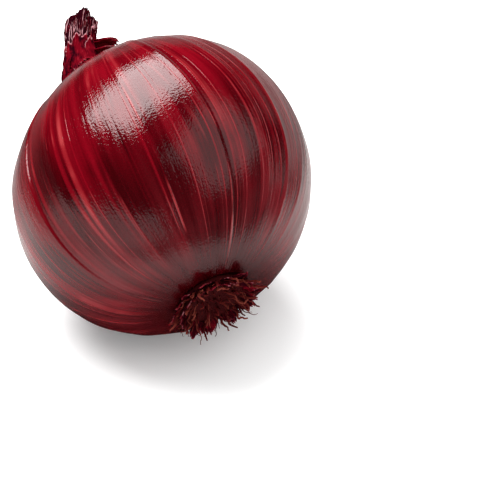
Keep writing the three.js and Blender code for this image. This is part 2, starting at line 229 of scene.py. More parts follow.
# The view of the photograph: a long lens, and where the growing frame's origin falls in the picture.
PICTURE_SIZE = 500
PICTURE_ORIGIN = (163.9, 180.8)
PIXELS_PER_MM = 3.8
CAMERA_AZIMUTH = math.radians(-23.9)
CAMERA_ELEVATION = math.radians(35)
CAMERA_DISTANCE = 700
SENSOR_WIDTH = 36

# The white surroundings, and how they light what the camera doesn't see.
SOFT_FILL = 0.45
WORLD_IN_MIRRORS = 0.015

# The white table. What the onion's skin mirrors of it is bright close by and in a few spots, else dark.
# A spot is metres to the right and away, seen from the camera, then its reach and its core.
TABLE_HALF = 3.0
TABLE_HEIGHT = -0.0002
TABLE_WHITE = (0.93, 0.93, 0.93, 1)
TABLE_GLOW = 0.16
MIRRORED_DARK = (0.012, 0.012, 0.012, 1)
MIRRORED_BRIGHT = (0.46, 0.43, 0.42, 1)
MIRRORED_NEARBY = (0, -0.01, 0.14, 0.1)
MIRRORED_SHADE = (0.005, -0.015, 0.074, 0.026)
MIRRORED_DIM = (-0.07, 0.07, 0.06, 0.02)
DIM_SHARE = 0.55
MIRRORED_SPOTS = (
    # spot, strength
    ((0.02, 0.3, 0.2, 0.12), 0.35),
    ((-0.35, -0.4, 0.44, 0.36), 1),
    ((0.3, 0.3, 0.32, 0.24), 0.55),
)


# Seeded chance, curves and rings


def seeded_draw(seed):
    """The same small generator as the solids', so that what is drawn here grows where theirs does."""
    state = seed

    def draw(low=0.0, high=1.0):
        nonlocal state
        state = (state * 1664525 + 1013904223) % 2**32
        return low + (high - low) * state / 2**32

    return draw


def pass_over(draw, count):
    """Leaves out the draws that only the solids use."""
    for _ in range(count):
        draw()


def smoothstep(value, low, high):
    share = np.clip((value - low) / (high - low), 0, 1)
    return share * share * (3 - 2 * share)


def mix(low, high, share):
    return low + (high - low) * share


def sideways(azimuth, distance, height):
    """Points that far out from the growing axis, towards an azimuth."""
    flat = np.broadcast_arrays(distance * np.cos(azimuth), distance * np.sin(azimuth), height)
    return np.stack(flat, axis=-1).astype(float)


def ripples(draw, count, across, along):
    """A smooth random field over an angle and a length, made of a few waves; it closes round the angle."""
    waves = [(round(draw(*across)), draw(-along, along), draw(0, TURN)) for _ in range(count)]

    def field(angle, length):
        total = sum(np.cos(a * angle + b * length + phase) for a, b, phase in waves)
        return total / math.sqrt(count)

    return field


def all_round(count):
    return np.linspace(0, TURN, count, endpoint=False)[None, :]


def torn_edge(notches, share):
    places = np.linspace(0, 1, len(notches))
    return np.interp(share, places, notches)


# Meshes


GROWING_FRAME = (
    Matrix.Translation(GROWING_ORIGIN * MM)
    @ Matrix.Rotation(NECK_RISE - math.pi / 2, 4, "X")
    @ Matrix.Scale(MM, 4)
)


def in_row_frame(points):
    """Points of the growing frame, in millimetres, become points of the row frame, in metres."""
    turn = np.array(GROWING_FRAME)
    return points.reshape(-1, 3) @ turn[:3, :3].T + turn[:3, 3]


def grid_faces(rows, columns, closed):
    """Faces between rows of points; closed joins the last column to the first."""
    i = np.arange(rows - 1)[:, None]
    j = np.arange(columns if closed else columns - 1)[None, :]
    here = i * columns + j
    beside = i * columns + (j + 1) % columns
    return np.stack([here, beside, beside + columns, here + columns], axis=-1).reshape(-1, 4)


class Sculpt:
    """Points, faces and named point values, gathered from several pieces into one mesh."""

    def __init__(self):
        self.points = []
        self.faces = []
        self.values = {}
        self.count = 0

    def add(self, points, faces, shape, sources, values):
        """Adds points and faces; each point has its values from a numbered source, a place in a grid."""
        self.points.append(points)
        self.faces += [tuple(int(v) + self.count for v in face) for face in faces]
        for name, value in values.items():
            spread = np.broadcast_to(value, shape).reshape(-1)
            self.values.setdefault(name, []).append(spread[sources])
        self.count += len(points)

    def add_tube(self, rings, **values):
        """A closed skin over rings of points, with a cap of triangles at each end."""
        rows, columns = rings.shape[:2]
        ends = [rings[0].mean(axis=0), rings[-1].mean(axis=0)]
        points = np.concatenate([rings.reshape(-1, 3), ends])
        faces = [tuple(face) for face in grid_faces(rows, columns, closed=True)]
        count = rows * columns
        start = count - columns
        for j in range(columns):
            k = (j + 1) % columns
            faces.append((count, k, j))
            faces.append((count + 1, start + j, start + k))
        sources = [*range(count), 0, count - 1]
        self.add(points, faces, (rows, columns), sources, values)

    def add_blade(self, surface, thickness, **values):
        """A thin blade over a grid of points, closed all round; its thickness may vary over the grid."""
        rows, columns = surface.shape[:2]
        along = np.gradient(surface, axis=0)
        across = np.gradient(surface, axis=1)
        out = np.cross(along, across)
        out /= np.linalg.norm(out, axis=-1, keepdims=True) + TINY
        half = out * (np.broadcast_to(thickness, (rows, columns))[..., None] / 2)
        points = np.concatenate([(surface + half).reshape(-1, 3), (surface - half).reshape(-1, 3)])
        top = grid_faces(rows, columns, closed=False)
        count = rows * columns
        under = top[:, ::-1] + count
        index = np.arange(count).reshape(rows, columns)
        border = [*index[0], *index[1:, -1], *index[-1, -2::-1], *index[-2:0:-1, 0]]
        walls = [(b, a, a + count, b + count) for a, b in zip(border, border[1:] + border[:1])]
        faces = [tuple(face)[::-1] for face in (*top, *under, *walls)]
        sources = [*range(count)] * 2
        self.add(points, faces, (rows, columns), sources, values)

    def finish(self, name, material):
        mesh = bpy.data.meshes.new(name)
        mesh.from_pydata(in_row_frame(np.concatenate(self.points)).tolist(), [], self.faces)
        for value_name, parts in self.values.items():
            value = np.concatenate(parts)
            kind, field = ("FLOAT", "value") if value.ndim == 1 else ("FLOAT_VECTOR", "vector")
            layer = mesh.attributes.new(value_name, kind, "POINT")
            layer.data.foreach_set(field, value.astype(np.float32).ravel())
        mesh.polygons.foreach_set("use_smooth", [True] * len(mesh.polygons))
        mesh.materials.append(material)
        mesh.update()
        return show(bpy.data.objects.new(name, mesh))


def show(piece):
    bpy.context.scene.collection.objects.link(piece)
    return piece


# Node trees written as formulas


class Formula:
    """A value in a node tree. Arithmetic on it adds the maths nodes."""

    def __init__(self, socket):
        self.socket = socket
        self.tree = socket.id_data

    def calc(self, operation, *others):
        node = self.tree.nodes.new("ShaderNodeMath")
        node.operation = operation
        for socket, value in zip(node.inputs, (self, *others)):
            feed(socket, value)
        return Formula(node.outputs[0])

    def __add__(self, other):
        return self.calc("ADD", other)

    def __sub__(self, other):
        return self.calc("SUBTRACT", other)

    def __mul__(self, other):
        return self.calc("MULTIPLY", other)

    def __pow__(self, other):
        return self.calc("POWER", other)

    def __rsub__(self, other):
        return (self * -1) + other

    def ramp(self, low, high, to_low=0.0, to_high=1.0):
        """Rises smoothly from one value to another between two readings."""
        node = self.tree.nodes.new("ShaderNodeMapRange")
        node.interpolation_type = "SMOOTHSTEP"
        for socket, value in zip(node.inputs, (self, low, high, to_low, to_high)):
            feed(socket, value)
        return Formula(node.outputs[0])

    def vector_calc(self, operation, other, output=0):
        node = self.tree.nodes.new("ShaderNodeVectorMath")
        node.operation = operation
        feed(node.inputs[0], self)
        feed(node.inputs["Scale"] if operation == "SCALE" else node.inputs[1], other)
        return Formula(node.outputs[output])

    def stretched(self, along):
        """Draws a pattern out along the growing axis."""
        return self.vector_calc("MULTIPLY", (1, 1, along))


def feed(socket, value):
    """Links a formula to a socket, or sets a plain value on it."""
    if isinstance(value, Formula):
        value.tree.links.new(value.socket, socket)
    else:
        socket.default_value = value


def added(tree, kind, settings=None, output=0, **inputs):
    """Adds a node with its settings and inputs, and gives one of its outputs."""
    node = tree.nodes.new(kind)
    for name, value in (settings or {}).items():
        setattr(node, name, value)
    for label, value in inputs.items():
        feed(node.inputs[label.replace("_", " ")], value)
    return Formula(node.outputs[output])


def noise(vector, scale, detail=1, roughness=0.5):
    pattern = {"Scale": scale, "Detail": detail, "Roughness": roughness}
    return added(vector.tree, "ShaderNodeTexNoise", Vector=vector, **pattern)


def colour(code):
    """A linear colour from the usual hexadecimal one."""
    parts = [int(code[i : i + 2], 16) / 255 for i in (1, 3, 5)]
    linear = [p / 12.92 if p <= 0.04045 else ((p + 0.055) / 1.055) ** 2.4 for p in parts]
    return (*linear, 1.0)


def blend(share, low, high):
    """Mixes two colours."""
    node = share.tree.nodes.new("ShaderNodeMix")
    node.data_type = "RGBA"
    feed(node.inputs[0], share)
    feed(node.inputs[6], low)
    feed(node.inputs[7], high)
    return Formula(node.outputs[2])


def layered(base, *layers):
    """Lays colours over a base, one after another, each as strongly as its share says."""
    for share, over in layers:
        base = blend(share, base, over)
    return base


def new_material(name):
    material = bpy.data.materials.new(name)
    material.use_nodes = True
    return material, material.node_tree, material.node_tree.nodes["Principled BSDF"]


def attribute(tree, name, output="Fac"):
    return added(tree, "ShaderNodeAttribute", {"attribute_name": name}, output)


def object_place(tree):
    return added(tree, "ShaderNodeTexCoord", output="Object")


def bump(tree, height, distance, **under):
    """Makes light fall as on a surface with this height; another bump may lie under it."""
    return added(tree, "ShaderNodeBump", Height=height, Distance=distance, **under)


# Materials


SKIN_DARK = colour("#2e0003")
SKIN_CRIMSON = colour("#5b000a")
SKIN_BRIGHT = colour("#740312")
SKIN_SALMON = colour("#a03a3c")
SKIN_ROOT_END = colour("#6a1a20")


def line_where(field, middle, width):
    """1 along the places where a field passes a value, falling off to 0 on both sides."""
    return (field - middle).calc("ABSOLUTE").ramp(width, width * 0.2)


def skin_patterns(tree):
    """What the skin's mesh carries, and noises of several sizes drawn out along its meridians."""
    meridian = attribute(tree, "meridian", "Vector")
    place = object_place(tree)
    return SimpleNamespace(
        **{name: attribute(tree, name) for name in ("level", "crest", "strength", "dusk", "pale")},
        broad=noise(meridian.stretched(0.25), 3),
        bands=noise(meridian.stretched(0.16), 8),
        streaks=noise(meridian.stretched(0.06), 24),
        hairlines=noise(meridian.stretched(0.014), 75),
        vein_field=noise(meridian.stretched(0.012), 6),
        blotches=noise(meridian.stretched(0.28), 10, detail=2),
        patches=noise(place, 70, detail=2),
        mottle=noise(place, 900, detail=2),
        cells=noise(place, 1900),
    )


def skin_veins(skin):
    """Where the skin has veins: thin lines, the crests of the raised veins, and a few paler ones."""
    lines = line_where(skin.vein_field, 0.5, 0.014)
    lines = lines.calc("MAXIMUM", line_where(skin.vein_field, 0.6, 0.01) * 0.4)
    lines = lines * skin.patches.ramp(0.4, 0.62, 0.08, 0.6)
    raised = (skin.crest + skin.streaks * 0.4 - 0.2).ramp(0.26, 0.05)
    raised = raised * skin.strength * skin.patches.ramp(0.42, 0.6)
    palest = (skin.pale + skin.streaks * 0.6 - 0.3).ramp(0.25, 0.85)
    palest = palest * skin.patches.ramp(0.3, 0.5, 0.5, 1)
    return lines.calc("MAXIMUM", raised).calc("MAXIMUM", palest)


def banded_colour(skin):
    """Crimson with dark and bright bands, darker in the dusky patches, which carry painted shade too.
    Painted shade lays the dark layers on more strongly low on the bulb, and painted light lays the bright
    bands on more strongly towards the neck.
    """
    # Painted shade: the dark layers weigh more low on the bulb.
    lower = skin.level.ramp(0.44, 0.28, 0.1, 1)
    dark_bands = (skin.bands * 0.75 + skin.streaks * 0.25).ramp(0.55, 0.43)
    dusky_and_shaded = (skin.dusk + skin.bands * 0.9 + skin.streaks * 0.5 - 0.7).ramp(0.05, 0.75)
    bright = (skin.bands * 0.65 + skin.streaks * 0.35).ramp(0.46, 0.64)
    # Painted light: the bright bands weigh more towards the neck.
    bright = bright * skin.level.ramp(0.2, 0.6, 0.35, 0.9)
    return layered(
        SKIN_CRIMSON,
        (skin.broad.ramp(0.62, 0.42) * lower * 0.65, SKIN_DARK),
        (dark_bands * lower * 0.9, SKIN_DARK),
        (skin.blotches.ramp(0.44, 0.62) * lower * 0.7, SKIN_DARK),
        (dusky_and_shaded * 0.9, SKIN_DARK),
        (bright * (1 - skin.dusk * 0.8), SKIN_BRIGHT),
        (skin.hairlines.ramp(0.5, 0.75) * 0.15, SKIN_BRIGHT),
        (skin.hairlines.ramp(0.48, 0.25) * 0.2, SKIN_DARK),
    )


def veined_colour(skin, veins, base):
    """Adds the veins with a faint glow beside them, a dull veil towards the root end, and painted shade
    that darkens the skin at the root end.
    """
    glow = line_where(skin.vein_field, 0.5, 0.032) * skin.level.ramp(0.1, 0.3, 0.3, 0.6)
    veil = skin.bands.ramp(0.4, 0.6) * 0.3 + skin.streaks.ramp(0.4, 0.6) * 0.25 + 0.25
    return layered(
        base,
        (glow, SKIN_BRIGHT),
        ((skin.pale + skin.streaks * 0.5 - 0.25).ramp(0.1, 0.7) * 0.65, SKIN_BRIGHT),
        (veins * 0.8, SKIN_BRIGHT),
        (veins * skin.patches.ramp(0.4, 0.6, 0.3, 1) * 0.65, SKIN_SALMON),
        (skin.level.ramp(0.32, 0.08) * veil * (1 - skin.dusk * 0.8), SKIN_ROOT_END),
        # Painted shade: the skin turns dark right round the roots.
        (skin.level.ramp(0.12, 0.02) * 0.85, SKIN_DARK),
    )


def glossy_skin():
    """Papery skin with a fine grain, faint ribs and a strong gloss."""
    material, tree, shader = new_material("glossy_crimson_skin")
    skin = skin_patterns(tree)
    veins = skin_veins(skin)
    feed(shader.inputs["Base Color"], veined_colour(skin, veins, banded_colour(skin)))
    satin = (skin.streaks * 0.5 + skin.broad * 0.3 + skin.mottle * 0.2).ramp(0.42, 0.62)
    feed(shader.inputs["Roughness"], satin * 0.06 + 0.075)
    ribs = bump(tree, skin.streaks * 0.3 + skin.hairlines * 0.35 + veins * 0.4, 0.14 * MM)
    feed(shader.inputs["Normal"], bump(tree, skin.cells, 0.065 * MM, Normal=ribs))
    return material


SHEATH_DARK = colour("#22030a")
SHEATH_RED = colour("#5a0410")
SHEATH_PINK = colour("#801a26")
SHEATH_PALE = colour("#b27f85")


def withered_sheath():
    """Dried sheaths: dark maroon to crimson with fibres along them, pink on creases and pale where torn;
    the pink and pale on crease crests are partly painted highlight, and the shade carries painted light and
    shade from folds and lumps.
    """
    material, tree, shader = new_material("withered_sheath")
    fibre = attribute(tree, "fibre", "Vector")
    shade = attribute(tree, "shade")
    edge = attribute(tree, "edge")
    place = object_place(tree)
    fibres = noise(fibre, 1.0, detail=2, roughness=0.6)
    blotches = noise(place, 420, detail=3, roughness=0.6)
    flecks = (fibres * 0.55 + blotches * 0.45).ramp(0.5, 0.68) * (shade + 0.2).ramp(0.2, 1)
    base = layered(
        SHEATH_DARK,
        ((shade + fibres * 1.3 + blotches * 2.6 - 2.05).ramp(0.15, 1.05), SHEATH_RED),
        (flecks * 0.55, SHEATH_PINK),
        ((edge + fibres * 0.5 + blotches * 0.3 - 0.4).ramp(0.55, 1) * 0.75, SHEATH_PINK),
        ((edge * 0.75 + fibres * 0.4).ramp(0.78, 0.95) * 0.85, SHEATH_PALE),
    )
    feed(shader.inputs["Base Color"], base)
    shader.inputs["Specular IOR Level"].default_value = 0
    feed(shader.inputs["Roughness"], (fibres * 0.6 + shade * 0.4).ramp(0.3, 0.7, 0.45, 0.3))
    feed(shader.inputs["Normal"], bump(tree, fibres * 0.6 + blotches * 0.4, 0.4 * MM))
    return material


def dry_thread():
    """Loose threads of dead leaf: pale pink with maroon stretches."""
    material, tree, shader = new_material("dry_thread")
    place = object_place(tree)
    stretches = noise(place, 500, detail=2) * 0.7 + attribute(tree, "shade") * 0.3
    feed(shader.inputs["Base Color"], blend(stretches.ramp(0.38, 0.6), SHEATH_RED, SHEATH_PALE))
    shader.inputs["Specular IOR Level"].default_value = 0.1
    shader.inputs["Roughness"].default_value = 0.5
    feed(shader.inputs["Normal"], bump(tree, noise(place, 2600, detail=2), 0.1 * MM))
    return material


ROOT_DARK = colour("#340709")
ROOT_MAROON = colour("#560f12")
ROOT_BROWN = colour("#531a14")
ROOT_TAN = colour("#7c3b30")


def dried_root():
    """Dried roots: dark maroon at the plate, reddish brown and tan towards the tips."""
    material, tree, shader = new_material("dried_root")
    tip = attribute(tree, "tip")
    shade = attribute(tree, "shade")
    place = object_place(tree)
    blotches = noise(place, 700, detail=3, roughness=0.6)
    base = layered(
        ROOT_DARK,
        ((tip * 0.5 + shade * 0.4 + blotches * 0.6 - 0.4).ramp(0.1, 0.7), ROOT_MAROON),
        ((shade * 0.7 + tip * 0.3 + blotches * 0.4).ramp(0.6, 0.95) * 0.85, ROOT_BROWN),
        ((tip * 0.5 + shade * 0.5 + blotches * 0.5).ramp(0.85, 1.2) * 0.7, ROOT_TAN),
    )
    feed(shader.inputs["Base Color"], base)
    shader.inputs["Specular IOR Level"].default_value = 0.03
    shader.inputs["Roughness"].default_value = 0.6
    feed(shader.inputs["Normal"], bump(tree, noise(place, 2200, detail=2), 0.2 * MM))
    return material


# The bulb


def skin_columns():
    """Round the bulb: azimuth, relief, angle to the nearest vein, and that vein's strength."""
    draw = seeded_draw(VEIN_SEED)
    azimuths, heights = [], []
    for i in range(VEINS):
        azimuths.append(TURN * (i + draw(-VEIN_JITTER, VEIN_JITTER)) / VEINS)
        heights.append(VEIN_HEIGHT * draw(WEAKEST_VEIN, 1))
    azimuths.append(azimuths[0] + TURN)
    heights.append(heights[0])
    columns = []
    for i in range(VEINS):
        shares = np.arange(COLUMNS_PER_VEIN) / COLUMNS_PER_VEIN
        if i in SKIN_EDGE_VEINS:
            shares[1] = SKIN_EDGE_WIDTH
        azimuth = mix(azimuths[i], azimuths[i + 1], shares)
        relief = heights[i] * (1 - shares) ** VEIN_SHARPNESS + heights[i + 1] * shares**VEIN_SHARPNESS
        near = np.minimum(shares, 1 - shares) * (azimuths[i + 1] - azimuths[i])
        strength = mix(heights[i], heights[i + 1], smoothstep(shares, 0.4, 0.6)) / VEIN_HEIGHT
        columns.append(np.stack([azimuth, relief, near, strength]))
    azimuth, relief, near, strength = np.concatenate(columns, axis=1)
    edges = [azimuths[i] for i in SKIN_EDGE_VEINS]
    starts = np.array([edges[-1] - TURN, *edges])
    ends = np.array([*edges, edges[0] + TURN])
    section = np.searchsorted(starts, azimuth - TINY) - 1
    share = (azimuth - starts[section]) / (ends[section] - starts[section])
    return azimuth, relief + SKIN_STEP * share**2, near, strength


def bulb_profile(level):
    start = math.asin((ROOT_SEAT_RADIUS / BULB_RADIUS) ** (SQUARENESS / 2))
    angle = mix(start, math.pi, 1 - np.maximum(1 - level, 0) ** ROW_CROWDING)
    across = BULB_RADIUS * np.maximum(np.sin(angle), 0) ** (2 / SQUARENESS)
    along = np.abs(np.cos(angle)) ** (2 / SQUARENESS)
    collared = (across**COLLAR_BLEND + COLLAR_RADIUS**COLLAR_BLEND) ** (1 / COLLAR_BLEND)
    lower = angle < math.pi / 2
    radius = np.where(lower, across, collared)
    risen = SHOULDER_HALF * along + COLLAR_RISE * (COLLAR_RADIUS / np.maximum(radius, 1)) ** 4
    return radius, np.where(lower, -ROOT_HALF * along, risen)


def bulb_middle(height, radius):
    near_neck = np.where(height > 0, 1 - smoothstep(radius, COLLAR_RADIUS, COLLAR_SHIFT_REACH), 0)
    return sideways(SKEW_SIDE, SKEW * height + COLLAR_SHIFT * near_neck, 0)


def lobes(azimuth):
    return sum(height * np.cos(waves * azimuth + turn) for waves, height, turn in LOBES)


def turned(azimuth, level):
    """The veins wind slightly round the bulb, and lean more on one flank."""
    away = (azimuth - FLANK_MIDDLE + math.pi) % TURN - math.pi
    share = np.clip(np.abs(away) / FLANK_HALF, 0, 1)
    lean = FLANK_LEAN * (0.5 + 0.5 * np.cos(math.pi * share))
    bend = FLANK_REACH * np.tanh((level - FLANK_LEVEL) / FLANK_REACH)
    return azimuth + SWIRL * (level - 0.5) + lean * bend


def skin_points(level, azimuth, relief):
    radius, height = bulb_profile(level)
    around = turned(azimuth, level)
    fade = smoothstep(level, 0, 0.12) * (1 - smoothstep(level, 0.9, 1))
    out = radius * (1 + lobes(around) * fade) + relief * fade
    return bulb_middle(height, radius) + sideways(around, out, height)


def soft_patches(patches, azimuth, level):
    """How strongly a place on the skin is marked by patches that fade out all round."""
    total = 0
    for middle, height, half_width, half_height, strength in patches:
        away = (azimuth - math.radians(middle) + math.pi) % TURN - math.pi
        across = away / math.radians(half_width)
        along = (level - height) / half_height
        total = total + strength * np.exp(-(across**2) - along**2)
    return total


def neck_seat_centre():
    middle = bulb_middle(np.array(NECK_SEAT_HEIGHT), np.array(COLLAR_RADIUS))
    return middle + [0, 0, NECK_SEAT_HEIGHT]


def root_seat_centre():
    radius, height = bulb_profile(np.array(0.0))
    return bulb_middle(height, radius) + [0, 0, height + ROOT_SEAT_DEPTH]


def bulb_mesh(material):
    azimuth, relief, near, strength = skin_columns()
    rows = np.linspace(0, 1, SKIN_ROWS)[:, None]
    tear = ripples(seeded_draw(5), 9, (3, 40), 0)(azimuth, 0)
    level = rows * (1 - TORN_RIM_DEPTH * (1 + tear) * rows**20)
    skin = skin_points(level, azimuth, relief)
    radius, _ = bulb_profile(level)

    def seat(centre, height, level_here):
        seat_radius = ROOT_SEAT_RADIUS if level_here < 0.5 else NECK_SEAT_RADIUS
        return (centre * [1, 1, 0] + sideways(turned(azimuth, level_here), seat_radius, height))[None]

    def with_seats(values):
        return np.concatenate([values[:1], values, values[-1:], values[-1:]])

    rim = skin[-1][:, 2]
    root_centre = root_seat_centre()
    rings = np.concatenate([
        seat(root_centre, root_centre[2], 0),
        skin,
        seat(neck_seat_centre(), rim, 1),
        seat(neck_seat_centre(), NECK_SEAT_HEIGHT, 1),
    ])
    levels = with_seats(level)
    crest = with_seats(near * radius)
    # The dusky patches hold painted shade as well as the skin's own darker tone.
    dusk = soft_patches(DUSKY_AND_SHADED_PATCHES, turned(azimuth, levels), levels)
    pale = soft_patches(PALE_VEINS, azimuth, levels)
    sculpt = Sculpt()
    sculpt.add_tube(rings, level=levels, crest=crest, strength=strength, dusk=dusk, pale=pale)
    around = np.broadcast_to(azimuth, levels.shape).reshape(-1)
    meridian = np.stack([np.cos(around), np.sin(around), 4 * levels.reshape(-1)], axis=-1)
    sculpt.values["meridian"] = [np.concatenate([meridian, meridian[:1], meridian[-1:]])]
    return sculpt.finish("bulb_skin", material)


def growth_tree(name, sizes):
    """Starts a geometry tree whose named inputs are its sizes; gives the tree and its input node."""
    tree = bpy.data.node_groups.new(name, "GeometryNodeTree")
    tree.interface.new_socket("Geometry", in_out="INPUT", socket_type="NodeSocketGeometry")
    for label, value in sizes.items():
        size = tree.interface.new_socket(label, in_out="INPUT", socket_type="NodeSocketFloat")
        size.default_value = value
    tree.interface.new_socket("Geometry", in_out="OUTPUT", socket_type="NodeSocketGeometry")
    return tree, tree.nodes.new("NodeGroupInput")


def end_growth(tree, geometry, material):
    """Ends a geometry tree with real geometry that wears its material."""
    real = added(tree, "GeometryNodeRealizeInstances", Geometry=geometry)
    faced = added(tree, "GeometryNodeSetMaterial", Geometry=real, Material=material)
    feed(tree.nodes.new("NodeGroupOutput").inputs[0], faced)


def relief_tree(material):
    """Raises fine ridges along the meridians and a few shallow dents."""
    tree, given = growth_tree("skin_relief", {"Ridge height": RIDGE_HEIGHT, "Dent depth": DENT_DEPTH})

    def carried(name, kind):
        return added(tree, "GeometryNodeInputNamedAttribute", {"data_type": kind}, Name=name)

    meridian = carried("meridian", "FLOAT_VECTOR")
    level = carried("level", "FLOAT")
    ridges = noise(meridian.stretched(0.05), 17, detail=2, roughness=0.6) - 0.5
    dents = noise(meridian.stretched(0.5), 2.6) - 0.5
    fade = level.ramp(0.0, 0.06) * level.ramp(1.0, 0.94)
    ridge_height = Formula(given.outputs["Ridge height"])
    dent_depth = Formula(given.outputs["Dent depth"])
    height = (ridges * ridge_height * 2 + dents * dent_depth * 2) * fade * MM
    offset = added(tree, "GeometryNodeInputNormal").vector_calc("SCALE", height)
    bare = Formula(given.outputs["Geometry"])
    end_growth(tree, added(tree, "GeometryNodeSetPosition", Geometry=bare, Offset=offset), material)
    return tree


def grown(piece, tree, sizes=None):
    """Runs a geometry tree on a piece, keeps the result as its plain mesh and removes the modifier."""
    modifier = piece.modifiers.new("grow", "NODES")
    modifier.node_group = tree
    for item in tree.interface.items_tree:
        if item.in_out == "INPUT" and item.name in (sizes or {}):
            modifier[item.identifier] = sizes[item.name]
    scene_now = bpy.context.evaluated_depsgraph_get()
    made = piece.evaluated_get(scene_now)
    mesh = bpy.data.meshes.new_from_object(made, preserve_all_data_layers=True, depsgraph=scene_now)
    mesh.name = piece.name
    if piece.type == "MESH":
        piece.modifiers.remove(modifier)
        piece.data = mesh
        return piece
    solid = bpy.data.objects.new(piece.name + "_grown", mesh)
    bpy.data.objects.remove(piece)
    return show(solid)


def rest_on_table(piece):
    """Flattens what would reach below the table, as on the solid's flat spot."""
    for vertex in piece.data.vertices:
        vertex.co.z = max(vertex.co.z, 0)


# The withered neck


def neck_middle(height):
    lean = NECK_LEAN * (np.maximum(height, 0) / NECK_LEAN_HEIGHT) ** NECK_LEAN_BEND
    return sideways(SKEW_SIDE, lean, height)


def neck_radius(height):
    return mix(NECK_BASE_RADIUS, NECK_TOP_RADIUS, smoothstep(height, *NECK_TAPER))


def on_neck_seat(points):
    return points + neck_seat_centre() + [0, 0, SEAT_GAP]


def add_neck_plug(sculpt):
    """The grown-together foot of the neck, which fills the bulb's seat."""
    heights = np.linspace(0, 10, 24)[:, None]
    around = all_round(72)
    above_seat = heights > 2
    fold = np.where(above_seat, 0.94 + 0.05 * np.cos(7 * around + heights), 1)
    middle = neck_middle(np.where(above_seat, heights, 0)) * [1, 1, 0] + sideways(0, 0, heights)
    rings = on_neck_seat(middle + sideways(around, neck_radius(heights) * fold, 0))
    fibre = ripples(seeded_draw(3), 3, (5, 9), 0.3)(around, heights)
    sculpt.add_tube(rings, shade=0.2 + 0.1 * fibre, edge=0, angle=around * 5, length=heights)


def bundle_form(draw, turn, offset, base, top, height, slant, folds):
    """The surface of a wrinkled bundle of leaf bases, over a share of its height and an angle."""
    azimuth = SKEW_SIDE + turn
    phase = draw(0, TURN)
    twist = draw(1.5, 3.3)
    pass_over(draw, SOLID_BUNDLE_CORNERS)
    detail = seeded_draw(round(height * 10))
    waves = ripples(detail, 7, (6, 24), 0.9)
    fray = ripples(detail, 9, (5, 22), 0)

    def surface(share, around, lift=0.0):
        frayed = share * (1 + share**6 * 0.009 * fray(around, 0))
        level = frayed * (height + slant * np.cos(around - azimuth) * share)
        crease = 1 - np.minimum(np.abs(waves(around, level)) / 0.55, 1)
        fold = 1 + 0.17 * share * np.cos(folds * around + phase + twist * share)
        wrinkled = smoothstep(share, 0.1, 0.6)
        out = mix(base, top, smoothstep(share, 0, 0.75)) * fold - 0.3 * wrinkled
        out = out * (1 - 0.1 * share**10) + 0.55 * wrinkled * crease**1.5 + lift
        middle = neck_middle(level) + sideways(azimuth, offset * smoothstep(share, 0.1, 0.9), 0)
        return middle + sideways(around, out, 0), level, crease

    return surface


def add_neck_bundle(sculpt, form, shade, pale_from):
    """The skin of a bundle, closed by a hollow at its frayed top; painted shade darkens it between its
    raised folds, and their crests turn pale above a height, partly as painted highlight.
    """
    share = np.linspace(0, 1, 84)[:, None]
    around = all_round(150)
    rings, level, crease = form(share, around)
    hollow = rings[-1].mean(axis=0)
    steps_in = (0.85, 0.6, 0.3)
    inward = [mix(hollow - [0, 0, 0.4 + 2.4 * (1 - s)], rings[-1], s) for s in steps_in]
    rings = on_neck_seat(np.concatenate([rings, inward]))
    level = np.concatenate([level, *[level[-1:]] * len(steps_in)])
    crease = np.concatenate([crease, *[crease[-1:] * 0.4] * len(steps_in)])
    # Painted shade darkens the valleys between the raised folds; the crests turn pale above a height,
    # partly as torn pale edges and partly as painted highlight.
    edge = smoothstep(crease, 0.82, 1) * smoothstep(level, pale_from - 3, pale_from + 3) * 0.9
    sculpt.add_tube(rings, shade=shade - 0.3 + 0.7 * crease, edge=edge, angle=around * 3.4, length=level)


def blade_grid(rows, columns):
    """Shares along a blade and across it."""
    return np.linspace(0, 1, rows)[:, None], np.linspace(0, 1, columns)[None, :]


def torn_reach(u, v, notches, tatter, depth):
    """How far each point of a blade reaches, so that the blade ends in a torn edge."""
    return u * mix(1, torn_edge(notches, v) + depth * tatter(v, 0), u)


def torn_rim(u, v, end, side):
    """1 at a blade's torn end and at its sides, falling off to 0 inside."""
    return np.maximum(smoothstep(u, end, 1.0), smoothstep(np.abs(v - 0.5), side, 0.5) * u)


def add_neck_sheath(sculpt, draw, azimuth, span, height, flare, shade):
    """A sheath wraps part of the neck, crinkled along its fibres, and ends in a torn edge."""
    notches = [draw(0.78, 1) for _ in range(6)]
    pleat = draw(0.1, 0.3)
    pleats = draw(6, 11)
    detail = seeded_draw(round(height * 10 + span))
    crinkle = ripples(detail, 7, (8, 34), 0.7)
    tatter = ripples(detail, 8, (20, 90), 0)
    lumps = ripples(detail, 6, (4, 12), 1.2)
    u, v = blade_grid(46, 56)
    around = np.radians(azimuth + span * (v - 0.5) * mix(1, 0.74, u))
    end = torn_edge(notches, v) + 0.03 * tatter(v, 0)
    level = SHEATH_FOOT + (height - SHEATH_FOOT) * u * mix(1, end, u)
    crease = 1 - np.minimum(np.abs(crinkle(around, level)) / 0.6, 1)
    out = neck_radius(level) - 0.15 + flare * u**2 + pleat * np.cos(pleats * v + azimuth) * u
    out = out + 0.3 * crease**1.5 * (0.2 + u) + 0.14 * lumps(around, level) * (0.3 + u)
    surface = on_neck_seat(neck_middle(level) + sideways(around, out, 0))
    # Pink along the crinkles' crests: partly the sheath's own colour, partly painted highlight.
    edge = np.maximum(torn_rim(u, v, 0.86, 0.46), smoothstep(crease, 0.85, 1) * 0.25 * u)
    thin = SKIN_THICKNESS * mix(1, 0.45, smoothstep(u, 0.7, 1))
    # Painted light and shade: lighter where the lumps stand out, darker between them.
    shade = shade + 0.3 * lumps(around, level)
    sculpt.add_blade(surface, thin, shade=shade, edge=edge, angle=around * 5, length=level)


